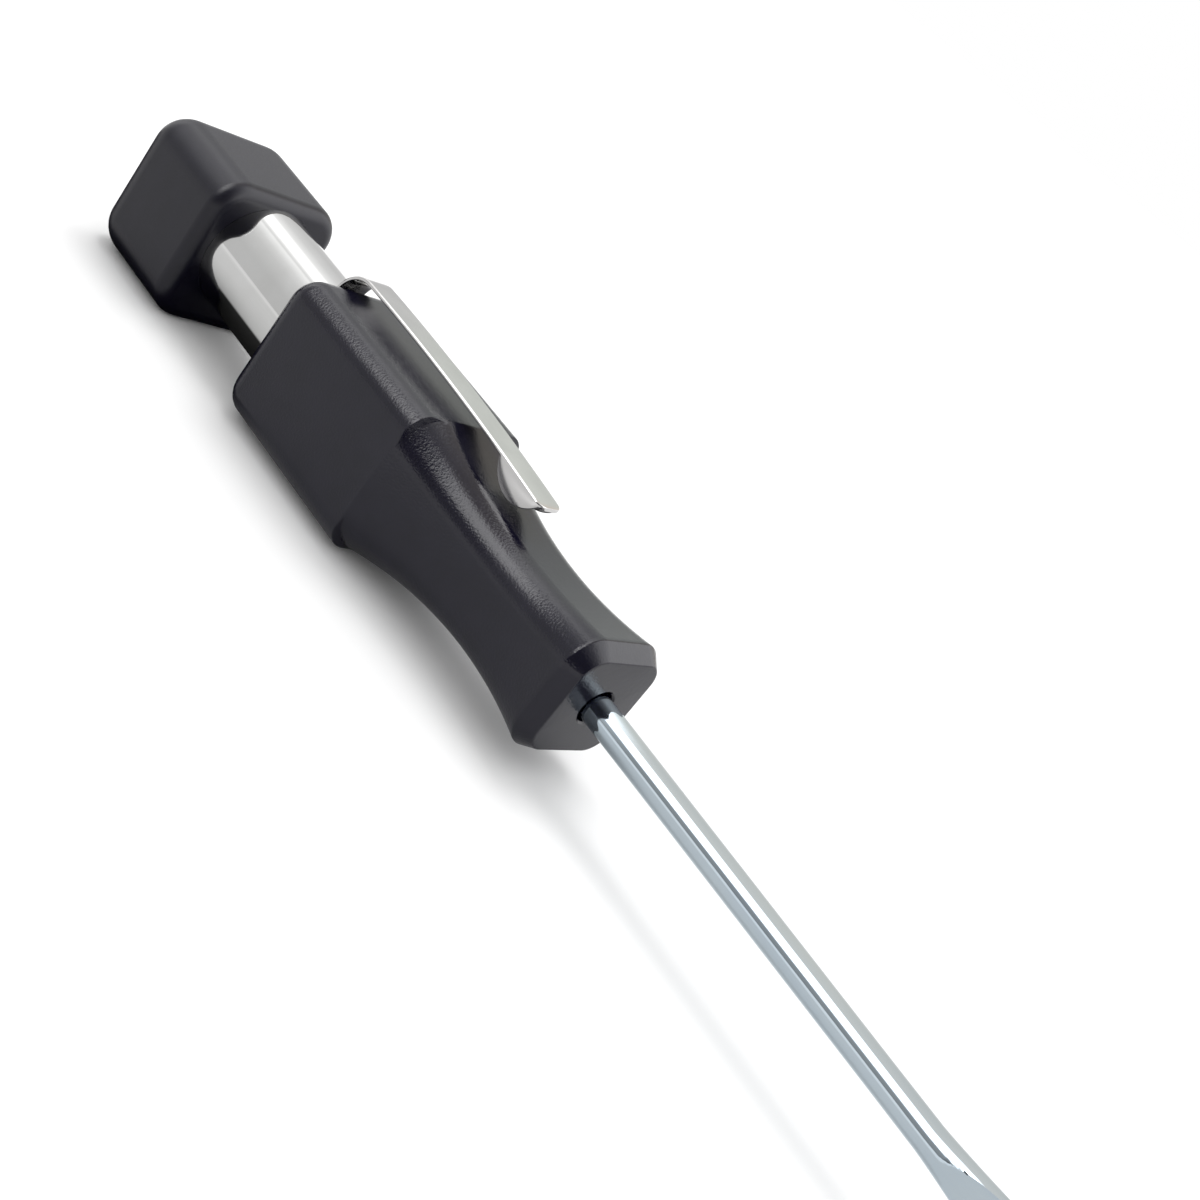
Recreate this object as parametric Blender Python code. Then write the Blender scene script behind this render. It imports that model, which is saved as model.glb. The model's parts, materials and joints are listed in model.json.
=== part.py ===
"""Pocket pry bar: square aluminium handle, strike core and cap, pocket clip and steel pry shank.

World frame, in metres: +X runs along the tool towards the pry tip, +Z is up and carries the clip,
and the origin is the bottom centre of the bounding box. The tool lies on its strike cap.
Lengths below are in millimetres, measured along the tool from the front face of the handle.
"""
import math

import bmesh
import bpy

MM = 0.001
GAP = 0.3
CUT_PAST = 1.0
JOIN_DEPTH = 1.5
BLIND_END_GAP = 0.7

SHANK_RADIUS = 1.58
SHANK_NECK_RADIUS = 1.47
SHANK_TANG_BACK = -50.3
SHANK_TANG_EDGE = 0.4
SHANK_ROUND_END = 40.0
FLARE_START = 46.5
FLAT_START = 48.6
FLAT_DEPTH_END = 56.5
BLADE_TIP = 71.0
BLADE_TIP_WIDTH = 8.6
BLADE_FLARE_POWER = 1.25
BLADE_THICKNESS = 1.0
BLADE_TIP_THICKNESS = 0.7
BEND_START = 56.0
BEND_OFFSET = 1.6

HANDLE_SIDE = 16.5
HANDLE_HALF = HANDLE_SIDE / 2
HEAD_CORNER = 2.7
HEAD_BACK = -52.6
HEAD_BACK_ROUND = 2.6
HEAD_BACK_CORNER = 1.4
WAIST_BACK = -29.7
WAIST_STEP = 0.15
WAIST_THIN = -12.6
WAIST_HALF = 5.55
WAIST_BACK_CORNER = 4.6
WAIST_CORNER = 3.3
FLARE_BACK = -1.75
FLARE_HALF = 6.55
FLARE_CORNER = 3.6
FRONT_HALF = 5.39
FRONT_CORNER = 2.3
SHANK_BORE_RADIUS = SHANK_RADIUS + GAP
FRONT_BORE_CHAMFER = 0.2
CORE_BORE_RADIUS = 4.5
CORE_BORE_FRONT = -31.0

NECK_RADIUS = 6.5
NECK_RISE = 0.6
NECK_EDGE = 0.3
SPIGOT_RADIUS = CORE_BORE_RADIUS - GAP
SPIGOT_CHAMFER = 0.6
SPIGOT_FRONT = CORE_BORE_FRONT - BLIND_END_GAP
NECK_FRONT = HEAD_BACK - GAP
TANG_BORE_BACK = SHANK_TANG_BACK - BLIND_END_GAP
TANG_BORE_TIP_RADIUS = 0.2

CAP_FRONT = -66.8
CAP_BACK = -82.6
CAP_HALF = 8.6
CAP_CORNER = 3.8
CAP_BACK_ROUND = 3.7
CAP_FRONT_ROUND = 1.6
CAP_DROP = 0.3
CAP_RECESS_DEPTH = 1.6
CAP_BORE_DEPTH = 13.0
CAP_BORE_RADIUS = 4.2
NECK_BACK = CAP_FRONT - CAP_RECESS_DEPTH + GAP
REAR_SPIGOT_RADIUS = CAP_BORE_RADIUS - GAP
REAR_SPIGOT_BACK = CAP_FRONT - CAP_BORE_DEPTH + BLIND_END_GAP

PIN_RADIUS = 0.75
PIN_BORE_RADIUS = PIN_RADIUS + GAP
PIN_X = -41.0
PIN_HALF_LENGTH = SPIGOT_RADIUS - GAP

CLIP_THICKNESS = 0.4
CLIP_EDGE = 0.14
CLIP_HALF = 1.74
CLIP_FOOT_HALF = 1.85
CLIP_FOOT_DEPTH = 2.0
CLIP_BEND_X = -49.6
CLIP_BEND_Z = 6.6
CLIP_BEND_RADIUS = 3.35
CLIP_BEND_TURN = 67.0
CLIP_CREST_X = -44.5
CLIP_CREST_Z = 10.0
CLIP_END_X = -16.85
CLIP_END_Z = 8.84
CLIP_EAR_BACK = -24.2
CLIP_EAR_FRONT = -17.1
CLIP_EAR_DROP = 2.3
CLIP_EAR_THICKNESS = 0.4
CLIP_EAR_INSET = 0.02
CLIP_SLOT_GAP = 0.35

CENTRE_X = (CAP_BACK + BLADE_TIP) / 2
CLIP_FOOT_X = HEAD_BACK - GAP - CLIP_THICKNESS / 2
CLIP_FOOT_Z = NECK_RADIUS + NECK_RISE - CLIP_FOOT_DEPTH
AXIS_HEIGHT = CAP_HALF + CAP_DROP

CORNER_STEPS = 7
ROUND_STEPS = 28
EDGE_STEPS = 6
WAIST_STATIONS = 22
BLADE_STATIONS = 18
BLADE_SIDE_STEPS = 8
BLADE_FACE_STEPS = 6
CLIP_KNEE_STEPS = 6
CLIP_BEND_STEPS = 11
CLIP_RISE_STEPS = 4
CLIP_ARM_STEPS = 14
EAR_STEPS = 16


def world(x, y, z):
    """Tool coordinates in millimetres, z measured from the tool's axis, to world metres."""
    return ((x - CENTRE_X) * MM, y * MM, (z + AXIS_HEIGHT) * MM)


def clear_scene():
    for obj in list(bpy.data.objects):
        bpy.data.objects.remove(obj, do_unlink=True)
    for empty in list(bpy.data.collections):
        bpy.data.collections.remove(empty)


def new_collection(name):
    made = bpy.data.collections.new(name)
    bpy.context.scene.collection.children.link(made)
    return made


def material(name, colour, metallic, roughness):
    made = bpy.data.materials.new(name)
    made.use_nodes = True
    shader = made.node_tree.nodes["Principled BSDF"]
    shader.inputs["Base Color"].default_value = (*colour, 1.0)
    shader.inputs["Metallic"].default_value = metallic
    shader.inputs["Roughness"].default_value = roughness
    made.diffuse_color = (*colour, 1.0)
    return made


def rounded_square(x, half, corner, rise=0.0):
    """A ring of points round the tool's axis, the same number whatever the corner's radius."""
    ring = []
    straight = half - corner
    for quarter, (side_y, side_z) in enumerate(((1, 1), (-1, 1), (-1, -1), (1, -1))):
        for step in range(CORNER_STEPS + 1):
            angle = math.radians(90) * (quarter + step / CORNER_STEPS)
            ring.append((
                x,
                side_y * straight + corner * math.cos(angle),
                side_z * straight + corner * math.sin(angle) + rise,
            ))
    return ring


def circle(x, radius, rise=0.0):
    angles = [2 * math.pi * k / ROUND_STEPS for k in range(ROUND_STEPS)]
    return [(x, radius * math.cos(angle), radius * math.sin(angle) + rise) for angle in angles]


def loft(name, rings, collection, skin=None):
    """One closed solid through rings of equal count, the first and last ring closed by a face."""
    mesh = bpy.data.meshes.new(name)
    shape = bmesh.new()
    rows = [[shape.verts.new(world(*point)) for point in ring] for ring in rings]
    count = len(rings[0])
    for first, second in zip(rows, rows[1:]):
        for k in range(count):
            after = (k + 1) % count
            shape.faces.new((first[k], first[after], second[after], second[k]))
    shape.faces.new(rows[0])
    shape.faces.new(list(reversed(rows[-1])))
    bmesh.ops.recalc_face_normals(shape, faces=shape.faces)
    shape.to_mesh(mesh)
    shape.free()
    obj = bpy.data.objects.new(name, mesh)
    collection.objects.link(obj)
    if skin:
        mesh.materials.append(skin)
    return obj


def turned(name, profile, collection, skin=None, rise=0.0):
    """A solid of revolution about the tool's axis or a line above it, from (x, radius) pairs."""
    return loft(name, [circle(x, radius, rise) for x, radius in profile], collection, skin)


def rod(name, centre, radius, half_length, collection, skin=None):
    """An upright round rod across the tool."""
    x, y, z = centre
    rings = []
    for end in (-half_length, half_length):
        angles = [2 * math.pi * k / ROUND_STEPS for k in range(ROUND_STEPS)]
        rings.append([
            (x + radius * math.cos(angle), y + radius * math.sin(angle), z + end)
            for angle in angles
        ])
    return loft(name, rings, collection, skin)


def box(name, low, high, collection):
    ring = [(low[1], low[2]), (high[1], low[2]), (high[1], high[2]), (low[1], high[2])]
    rings = [[(x, y, z) for y, z in ring] for x in (low[0], high[0])]
    return loft(name, rings, collection)


def combine(target, tool, operation):
    step = target.modifiers.new(operation.lower(), "BOOLEAN")
    step.object = tool
    step.operation = operation
    step.solver = "EXACT"
    tool.hide_render = True
    tool.display_type = "WIRE"


def settle(obj, sharp_degrees=32.0):
    """Applies the modifiers, so that the mesh holds the cut shape, and shades it."""
    graph = bpy.context.evaluated_depsgraph_get()
    made = bpy.data.meshes.new_from_object(obj.evaluated_get(graph))
    made.name = obj.name
    obj.modifiers.clear()
    obj.data = made
    made.shade_smooth()
    made.set_sharp_from_angle(angle=math.radians(sharp_degrees))


def put_origin(obj, x, y, z):
    """Moves the object's origin to a point in tool coordinates and leaves its mesh where it is."""
    px, py, pz = world(x, y, z)
    for vertex in obj.data.vertices:
        vertex.co.x -= px
        vertex.co.y -= py
        vertex.co.z -= pz
    obj.location = (px, py, pz)


def edge_round(x_face, inward, depth):
    """(x, inset) pairs of a quarter circle from a flat face to full size."""
    pairs = []
    for step in range(EDGE_STEPS + 1):
        angle = math.radians(90) * step / EDGE_STEPS
        pairs.append((x_face + inward * depth * (1 - math.cos(angle)), depth * (1 - math.sin(angle))))
    return pairs


def waist_half(x):
    """Half of the handle's side along the waist: one arc back to the head, one forward to the flare."""
    if x < WAIST_THIN:
        reach, rise = WAIST_THIN - WAIST_BACK, HANDLE_HALF - WAIST_HALF
    else:
        reach, rise = FLARE_BACK - WAIST_THIN, FLARE_HALF - WAIST_HALF
    radius = (reach * reach + rise * rise) / (2 * rise)
    return WAIST_HALF + radius - math.sqrt(radius * radius - (x - WAIST_THIN) ** 2)


def waist_corner(x):
    if x < WAIST_THIN:
        share = ((x - WAIST_THIN) / (WAIST_BACK - WAIST_THIN)) ** 2
        return WAIST_CORNER + share * (WAIST_BACK_CORNER - WAIST_CORNER)
    share = ((x - WAIST_THIN) / (FLARE_BACK - WAIST_THIN)) ** 2
    return WAIST_CORNER + share * (FLARE_CORNER - WAIST_CORNER)


def make_handle(parts, cutters, skin):
    rings = []
    for x, inset in edge_round(HEAD_BACK, 1, HEAD_BACK_ROUND):
        corner = HEAD_CORNER - (HEAD_CORNER - HEAD_BACK_CORNER) * inset / HEAD_BACK_ROUND
        rings.append(rounded_square(x, HANDLE_HALF - inset, corner))
    rings.append(rounded_square(WAIST_BACK, HANDLE_HALF, HEAD_CORNER))
    first = WAIST_BACK + WAIST_STEP
    for step in range(WAIST_STATIONS + 1):
        x = first + (FLARE_BACK - first) * step / WAIST_STATIONS
        rings.append(rounded_square(x, waist_half(x), waist_corner(x)))
    rings.append(rounded_square(0.0, FRONT_HALF, FRONT_CORNER))
    handle = loft("handle_body", rings, parts, skin)
    bore = turned("cut_handle_bore", (
        (HEAD_BACK - CUT_PAST, CORE_BORE_RADIUS),
        (CORE_BORE_FRONT, CORE_BORE_RADIUS),
        (CORE_BORE_FRONT + CORE_BORE_RADIUS - SHANK_BORE_RADIUS, SHANK_BORE_RADIUS),
        (-FRONT_BORE_CHAMFER, SHANK_BORE_RADIUS),
        (CUT_PAST, SHANK_BORE_RADIUS + FRONT_BORE_CHAMFER + CUT_PAST),
    ), cutters)
    combine(handle, bore, "DIFFERENCE")
    settle(handle)
    return handle


def make_core(parts, cutters, skin):
    core = turned("strike_core", (
        (NECK_FRONT, NECK_RADIUS - NECK_EDGE),
        (NECK_FRONT - NECK_EDGE, NECK_RADIUS),
        (NECK_BACK + NECK_EDGE, NECK_RADIUS),
        (NECK_BACK, NECK_RADIUS - NECK_EDGE),
    ), parts, skin, NECK_RISE)
    front = turned("add_front_spigot", (
        (NECK_FRONT - JOIN_DEPTH, SPIGOT_RADIUS),
        (SPIGOT_FRONT - SPIGOT_CHAMFER, SPIGOT_RADIUS),
        (SPIGOT_FRONT, SPIGOT_RADIUS - SPIGOT_CHAMFER),
    ), cutters)
    rear = turned("add_rear_spigot", (
        (REAR_SPIGOT_BACK, REAR_SPIGOT_RADIUS - SPIGOT_CHAMFER),
        (REAR_SPIGOT_BACK + SPIGOT_CHAMFER, REAR_SPIGOT_RADIUS),
        (NECK_BACK + JOIN_DEPTH, REAR_SPIGOT_RADIUS),
    ), cutters)
    combine(core, front, "UNION")
    combine(core, rear, "UNION")
    tang = turned("cut_tang_bore", (
        (TANG_BORE_BACK - SHANK_BORE_RADIUS, TANG_BORE_TIP_RADIUS),
        (TANG_BORE_BACK, SHANK_BORE_RADIUS),
        (SPIGOT_FRONT + CUT_PAST, SHANK_BORE_RADIUS),
    ), cutters)
    combine(core, tang, "DIFFERENCE")
    reach = SPIGOT_RADIUS + CUT_PAST
    cross = rod("cut_core_pin", (PIN_X, 0, 0), PIN_BORE_RADIUS, reach, cutters)
    combine(core, cross, "DIFFERENCE")
    slot = box("cut_clip_slot", (
        CLIP_FOOT_X - CLIP_THICKNESS / 2 - CLIP_SLOT_GAP,
        -CLIP_FOOT_HALF - GAP,
        CLIP_FOOT_Z - CLIP_SLOT_GAP,
    ), (
        NECK_FRONT + CUT_PAST,
        CLIP_FOOT_HALF + GAP,
        NECK_RADIUS + NECK_RISE + CUT_PAST,
    ), cutters)
    combine(core, slot, "DIFFERENCE")
    settle(core)
    return core


def make_cap(parts, cutters, skin):
    rings = []
    for x, inset in edge_round(CAP_BACK, 1, CAP_BACK_ROUND):
        rings.append(rounded_square(x, CAP_HALF - inset, CAP_CORNER - inset, -CAP_DROP))
    for x, inset in reversed(edge_round(CAP_FRONT, -1, CAP_FRONT_ROUND)):
        rings.append(rounded_square(x, CAP_HALF - inset, CAP_CORNER - inset, -CAP_DROP))
    cap = loft("strike_cap", rings, parts, skin)
    recess = turned("cut_cap_recess", (
        (CAP_FRONT - CAP_RECESS_DEPTH, NECK_RADIUS + GAP),
        (CAP_FRONT + CUT_PAST, NECK_RADIUS + GAP),
    ), cutters, rise=NECK_RISE)
    combine(cap, recess, "DIFFERENCE")
    bore = turned("cut_cap_bore", (
        (CAP_FRONT - CAP_BORE_DEPTH, CAP_BORE_RADIUS),
        (CAP_FRONT + CUT_PAST, CAP_BORE_RADIUS),
    ), cutters)
    combine(cap, bore, "DIFFERENCE")
    settle(cap)
    return cap


def between(x, start, end):
    """0 up to the start, 1 from the end on."""
    return min(1.0, max(0.0, (x - start) / (end - start)))


def shank_ring(x):
    """A circle that widens in Z, with a flat worked into each side once the blade starts."""
    radius = SHANK_RADIUS + between(x, 0.0, SHANK_ROUND_END) * (SHANK_NECK_RADIUS - SHANK_RADIUS)
    widen = between(x, FLARE_START, BLADE_TIP) ** BLADE_FLARE_POWER
    half_z = radius + widen * (BLADE_TIP_WIDTH / 2 - radius)
    thin = between(x, FLAT_START, FLAT_DEPTH_END)
    taper = between(x, FLAT_DEPTH_END, BLADE_TIP)
    half_y = radius + thin * (2 - thin) * (BLADE_THICKNESS / 2 - radius)
    half_y -= taper * (BLADE_THICKNESS - BLADE_TIP_THICKNESS) / 2
    shift = BEND_OFFSET * between(x, BEND_START, BLADE_TIP) ** 2
    least = math.pi * BLADE_FACE_STEPS / (2 * (BLADE_SIDE_STEPS + BLADE_FACE_STEPS))
    crease = max(least, math.acos(min(1.0, half_y / radius)))
    angles = [-crease + 2 * crease * k / BLADE_FACE_STEPS for k in range(BLADE_FACE_STEPS)]
    angles += [
        crease + (math.pi - 2 * crease) * k / BLADE_SIDE_STEPS for k in range(BLADE_SIDE_STEPS)
    ]
    angles += [angle + math.pi for angle in angles]
    ring = []
    for angle in angles:
        y = min(half_y, max(-half_y, radius * math.cos(angle)))
        ring.append((x, shift + y, half_z * math.sin(angle)))
    return ring


def make_shank(parts, cutters, skin):
    steps = 2 * (BLADE_SIDE_STEPS + BLADE_FACE_STEPS)
    turn = math.pi * BLADE_FACE_STEPS / steps
    rings = []
    for x, radius in (
        (SHANK_TANG_BACK, SHANK_RADIUS - SHANK_TANG_EDGE),
        (SHANK_TANG_BACK + SHANK_TANG_EDGE, SHANK_RADIUS),
    ):
        rings.append([
            (x, radius * math.cos(angle), radius * math.sin(angle))
            for angle in (2 * math.pi * k / steps - turn for k in range(steps))
        ])
    rings.append(shank_ring(0.0))
    rings.append(shank_ring(SHANK_ROUND_END))
    for step in range(BLADE_STATIONS + 1):
        rings.append(shank_ring(FLARE_START + (BLADE_TIP - FLARE_START) * step / BLADE_STATIONS))
    shank = loft("pry_shank", rings, parts, skin)
    reach = SHANK_RADIUS + CUT_PAST
    cross = rod("cut_tang_pin", (PIN_X, 0, 0), PIN_BORE_RADIUS, reach, cutters)
    combine(shank, cross, "DIFFERENCE")
    settle(shank)
    return shank


def clip_path():
    """(x, z, half width) along the middle of the sheet: foot, knee, bend over the head's edge, arm."""
    foot = (CLIP_FOOT_X, HANDLE_HALF - HEAD_BACK_ROUND)
    turn = math.radians(CLIP_BEND_TURN)
    knee = (
        CLIP_BEND_X - CLIP_BEND_RADIUS * math.sin(turn),
        CLIP_BEND_Z + CLIP_BEND_RADIUS * math.cos(turn),
    )
    pull = (knee[1] - foot[1]) / 3
    handles = (
        foot,
        (foot[0], foot[1] + pull),
        (knee[0] - pull * math.cos(turn), knee[1] - pull * math.sin(turn)),
        knee,
    )
    points = [(CLIP_FOOT_X, CLIP_FOOT_Z, CLIP_FOOT_HALF)]
    for step in range(CLIP_KNEE_STEPS):
        t = step / CLIP_KNEE_STEPS
        weights = ((1 - t) ** 3, 3 * t * (1 - t) ** 2, 3 * t * t * (1 - t), t ** 3)
        x, z = (sum(w * h[axis] for w, h in zip(weights, handles)) for axis in (0, 1))
        points.append((x, z, CLIP_FOOT_HALF))
    for step in range(CLIP_BEND_STEPS + 1):
        share = step / CLIP_BEND_STEPS
        angle = math.radians(90) + turn * (1 - share)
        half = CLIP_FOOT_HALF + (CLIP_HALF - CLIP_FOOT_HALF) * share
        points.append((
            CLIP_BEND_X + CLIP_BEND_RADIUS * math.cos(angle),
            CLIP_BEND_Z + CLIP_BEND_RADIUS * math.sin(angle),
            half,
        ))
    start_x, start_z, _ = points[-1]
    for step in range(1, CLIP_RISE_STEPS + 1):
        share = step / CLIP_RISE_STEPS
        x = start_x + (CLIP_CREST_X - start_x) * share
        points.append((x, CLIP_CREST_Z - (CLIP_CREST_Z - start_z) * (1 - share) ** 2, CLIP_HALF))
    for step in range(1, CLIP_ARM_STEPS + 1):
        x = CLIP_CREST_X + (CLIP_END_X - CLIP_CREST_X) * step / CLIP_ARM_STEPS
        points.append((x, arm_height(x), CLIP_HALF))
    return points


def arm_height(x):
    """Height of the sheet's middle along the arm, forward of its crest."""
    share = (x - CLIP_CREST_X) / (CLIP_END_X - CLIP_CREST_X)
    return CLIP_CREST_Z - (CLIP_CREST_Z - CLIP_END_Z) * share ** 2


def make_clip(parts, cutters, skin):
    path = clip_path()
    thick = CLIP_THICKNESS / 2
    rings = []
    for k, (x, z, side) in enumerate(path):
        before, after = path[max(0, k - 1)], path[min(len(path) - 1, k + 1)]
        dx, dz = after[0] - before[0], after[1] - before[1]
        length = math.hypot(dx, dz)
        up_x, up_z = -dz / length, dx / length
        rings.append([
            (x + up_x * rise, y, z + up_z * rise)
            for y, rise in (
                (-side + CLIP_EDGE, -thick), (side - CLIP_EDGE, -thick),
                (side, -thick + CLIP_EDGE), (side, thick - CLIP_EDGE),
                (side - CLIP_EDGE, thick), (-side + CLIP_EDGE, thick),
                (-side, thick - CLIP_EDGE), (-side, -thick + CLIP_EDGE),
            )
        ])
    clip = loft("pocket_clip", rings, parts, skin)
    span = CLIP_EAR_FRONT - CLIP_EAR_BACK
    radius = (span * span / 4 + CLIP_EAR_DROP ** 2) / (2 * CLIP_EAR_DROP)
    middle_x = (CLIP_EAR_BACK + CLIP_EAR_FRONT) / 2
    reach = math.asin(span / 2 / radius)
    for name, sign in (("add_near_ear", -1), ("add_far_ear", 1)):
        rings = []
        for inset in (CLIP_EAR_INSET, CLIP_EAR_THICKNESS):
            ring = []
            for step in range(EAR_STEPS + 1):
                angle = -reach + 2 * reach * step / EAR_STEPS
                x = middle_x + radius * math.sin(angle)
                fall = radius * math.cos(angle) - radius * math.cos(reach)
                ring.append((x, sign * (CLIP_HALF - inset), arm_height(x) - fall))
            for x in (CLIP_EAR_FRONT, CLIP_EAR_BACK):
                top = arm_height(x) + thick - CLIP_EDGE - CLIP_EAR_INSET
                ring.append((x, sign * (CLIP_HALF - inset), top))
            rings.append(ring)
        ear = loft(name, rings, cutters)
        combine(clip, ear, "UNION")
    settle(clip)
    return clip


def make_pin(parts, skin):
    pin = rod("shank_pin", (PIN_X, 0, 0), PIN_RADIUS, PIN_HALF_LENGTH, parts, skin)
    settle(pin)
    return pin


def main():
    clear_scene()
    bpy.context.scene.unit_settings.scale_length = 1.0
    parts = new_collection("parts")
    cutters = new_collection("cutters")
    cutters.hide_render = True
    anodised = material("black_anodised_aluminium", (0.028, 0.028, 0.032), 0.2, 0.42)
    cap_skin = material("black_anodised_cap", (0.026, 0.026, 0.030), 0.2, 0.45)
    chrome = material("polished_chrome", (0.78, 0.78, 0.78), 1.0, 0.06)
    clip_skin = material("chrome_spring_steel", (0.80, 0.80, 0.80), 1.0, 0.10)
    zinc = material("zinc_plated_steel", (0.66, 0.69, 0.72), 1.0, 0.16)
    pin_skin = material("plain_steel", (0.45, 0.45, 0.46), 1.0, 0.35)
    make_handle(parts, cutters, anodised)
    make_core(parts, cutters, chrome)
    make_cap(parts, cutters, cap_skin)
    make_shank(parts, cutters, zinc)
    clip = make_clip(parts, cutters, clip_skin)
    make_pin(parts, pin_skin)
    put_origin(clip, CLIP_FOOT_X, 0.0, NECK_RADIUS + NECK_RISE)


main()
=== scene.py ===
"""Dresses the pocket pry bar: smooth skins over its solids, procedural metals, floor, light and camera.

Lengths are in millimetres, with x along the tool from the handle's front face, as in the model.
world() turns them into the frame's metres. +X runs to the pry tip, +Z is up on the clip's side.
"""
import json
import math

import bpy
from mathutils import Matrix, Vector

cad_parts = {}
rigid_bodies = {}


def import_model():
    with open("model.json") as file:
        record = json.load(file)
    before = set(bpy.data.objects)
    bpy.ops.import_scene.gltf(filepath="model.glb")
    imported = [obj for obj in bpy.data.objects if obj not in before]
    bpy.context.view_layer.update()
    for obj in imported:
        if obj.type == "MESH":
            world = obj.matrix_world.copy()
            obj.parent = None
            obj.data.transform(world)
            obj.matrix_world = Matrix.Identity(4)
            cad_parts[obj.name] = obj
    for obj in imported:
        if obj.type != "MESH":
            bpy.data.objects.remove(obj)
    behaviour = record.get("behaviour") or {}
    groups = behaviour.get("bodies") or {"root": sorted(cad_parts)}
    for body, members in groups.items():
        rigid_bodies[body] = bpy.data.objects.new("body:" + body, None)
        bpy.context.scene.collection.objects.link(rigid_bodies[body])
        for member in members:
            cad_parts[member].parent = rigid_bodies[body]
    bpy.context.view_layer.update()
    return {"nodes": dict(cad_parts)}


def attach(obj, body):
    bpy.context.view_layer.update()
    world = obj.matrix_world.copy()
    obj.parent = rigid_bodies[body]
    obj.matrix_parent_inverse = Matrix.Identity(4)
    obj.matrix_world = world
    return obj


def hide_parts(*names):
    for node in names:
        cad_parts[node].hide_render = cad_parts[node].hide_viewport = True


MM = 0.001

# Pry shank: a round bar from its tang in the core to a thin blade, bent a little to one side
SHANK_RADIUS = 1.58
SHANK_NECK_RADIUS = 1.47
SHANK_TANG_BACK = -50.3
SHANK_TANG_EDGE = 0.4
SHANK_ROUND_END = 40.0
FLARE_START = 46.5
FLAT_START = 48.6
FLAT_DEPTH_END = 56.5
BLADE_TIP = 71.0
BLADE_TIP_WIDTH = 8.6
BLADE_FLARE_POWER = 1.25
BLADE_THICKNESS = 1.0
BLADE_TIP_THICKNESS = 0.7
BEND_START = 56.0
BEND_OFFSET = 1.6

# Handle body: square head, four-sided waist, flared and chamfered front end, bore
HANDLE_HALF = 8.25
HEAD_CORNER = 2.7
HEAD_BACK = -52.6
HEAD_BACK_ROUND = 2.6
HEAD_BACK_CORNER = 1.4
WAIST_BACK = -29.7
WAIST_STEP = 0.15
WAIST_THIN = -12.6
WAIST_HALF = 5.55
WAIST_BACK_CORNER = 4.6
WAIST_CORNER = 3.3
FLARE_BACK = -1.75
FLARE_HALF = 6.55
FLARE_CORNER = 3.6
FRONT_HALF = 5.39
FRONT_CORNER = 2.3
CHAMFER_MARGIN = 0.05
SHANK_BORE_RADIUS = 1.88
FRONT_BORE_CHAMFER = 0.2
CORE_BORE_RADIUS = 4.5
CORE_BORE_FRONT = -31.0
EDGE_BREAK = 0.12
SHOULDER_DROP = 0.015

# Strike core: round neck between two spigots
NECK_RADIUS = 6.5
NECK_RISE = 0.6
NECK_EDGE = 0.3
NECK_BACK = -68.1
NECK_HEAD_GAP = 0.02
SPIGOT_RADIUS = 4.2
SPIGOT_CHAMFER = 0.6
SPIGOT_FRONT = -31.7
TANG_BORE_BACK = -51.0
REAR_SPIGOT_RADIUS = 3.9
REAR_SPIGOT_BACK = -79.1

# Strike cap: rounded cube with a recess for the neck
CAP_FRONT = -66.8
CAP_BACK = -82.6
CAP_HALF = 8.6
CAP_CORNER = 3.8
CAP_BACK_ROUND = 3.7
CAP_FRONT_ROUND = 1.6
CAP_DROP = 0.3
CAP_RECESS_DEPTH = 1.6
CAP_RECESS_GAP = 0.02
CAP_BORE_DEPTH = 13.0
CAP_BORE_RADIUS = 4.2

# Pocket clip: strip with a foot, a bend over the head's back edge, an arm and two folded ears
CLIP_THICKNESS = 0.4
CLIP_HALF = 1.74
CLIP_FOOT_HALF = 1.85
CLIP_FOOT_X = -53.1
CLIP_FOOT_Z = 5.1
CLIP_BEND_X = -49.6
CLIP_BEND_Z = 6.6
CLIP_BEND_RADIUS = 3.35
CLIP_BEND_TURN = 67.0
CLIP_CREST_X = -44.5
CLIP_CREST_Z = 10.0
CLIP_END_X = -16.85
CLIP_END_Z = 8.84
CLIP_END_ROUND = 1.0
CLIP_EAR_BACK = -24.2
CLIP_EAR_FRONT = -17.1
CLIP_EAR_DROP = 2.3
CLIP_EAR_THICKNESS = 0.4
CLIP_FOLD = 0.22
CLIP_EDGE = 0.1

# The model's middle along the tool, and the tool's axis over the floor
CENTRE_X = (CAP_BACK + BLADE_TIP) / 2
AXIS_HEIGHT = CAP_HALF + CAP_DROP

# How finely the skins are divided, and the angle in degrees past which an edge is sharp
CORNER_STEPS = 14
ROUND_STEPS = 12
WAIST_STATIONS = 64
BLADE_STATIONS = 60
ARM_STATIONS = 24
EAR_STATIONS = 90
FOLD_STEPS = 8
SHEET_EDGE_STEPS = 4
SHARP_ANGLE = 28.0
BLADE_SHARP_ANGLE = 14.0
CLIP_SHARP_ANGLE = 50.0

# A noise texture's values that are spread over a finish's range. The core gives more contrast.
NOISE_REACH = (0.3, 0.7)
NOISE_CORE = (0.35, 0.65)

# Light that metal mirrors, as stops of (degrees round the tool, grey level or colour).
# 0 degrees is level towards -Y, 90 is straight up and 180 is level towards +Y.
BACK_LIGHT = (
    (30.0, 0.64), (57.0, 0.76), (70.0, 0.90), (83.0, 1.22), (87.0, 0.95), (91.0, 1.20),
    (97.0, 1.9), (108.0, 1.9), (118.0, 1.12), (134.0, 0.85), (157.0, 0.70),
)
MIDDLE_LIGHT = (
    (-10.0, 0.50), (31.0, 0.9), (48.0, 5.0), (63.0, 5.4), (80.0, 3.4), (96.0, 2.9),
    (114.0, (1.69, 1.71, 1.66)), (136.0, (1.03, 1.07, 1.01)), (154.0, (0.75, 0.78, 0.74)),
)
SIDE_LIGHT = (
    (-12.0, 0.72), (-4.0, 0.32), (26.0, 0.40), (38.0, 4.6), (64.0, 4.6),
    (78.0, (0.90, 0.84, 0.77)), (160.0, (0.82, 0.77, 0.70)),
)
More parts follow.
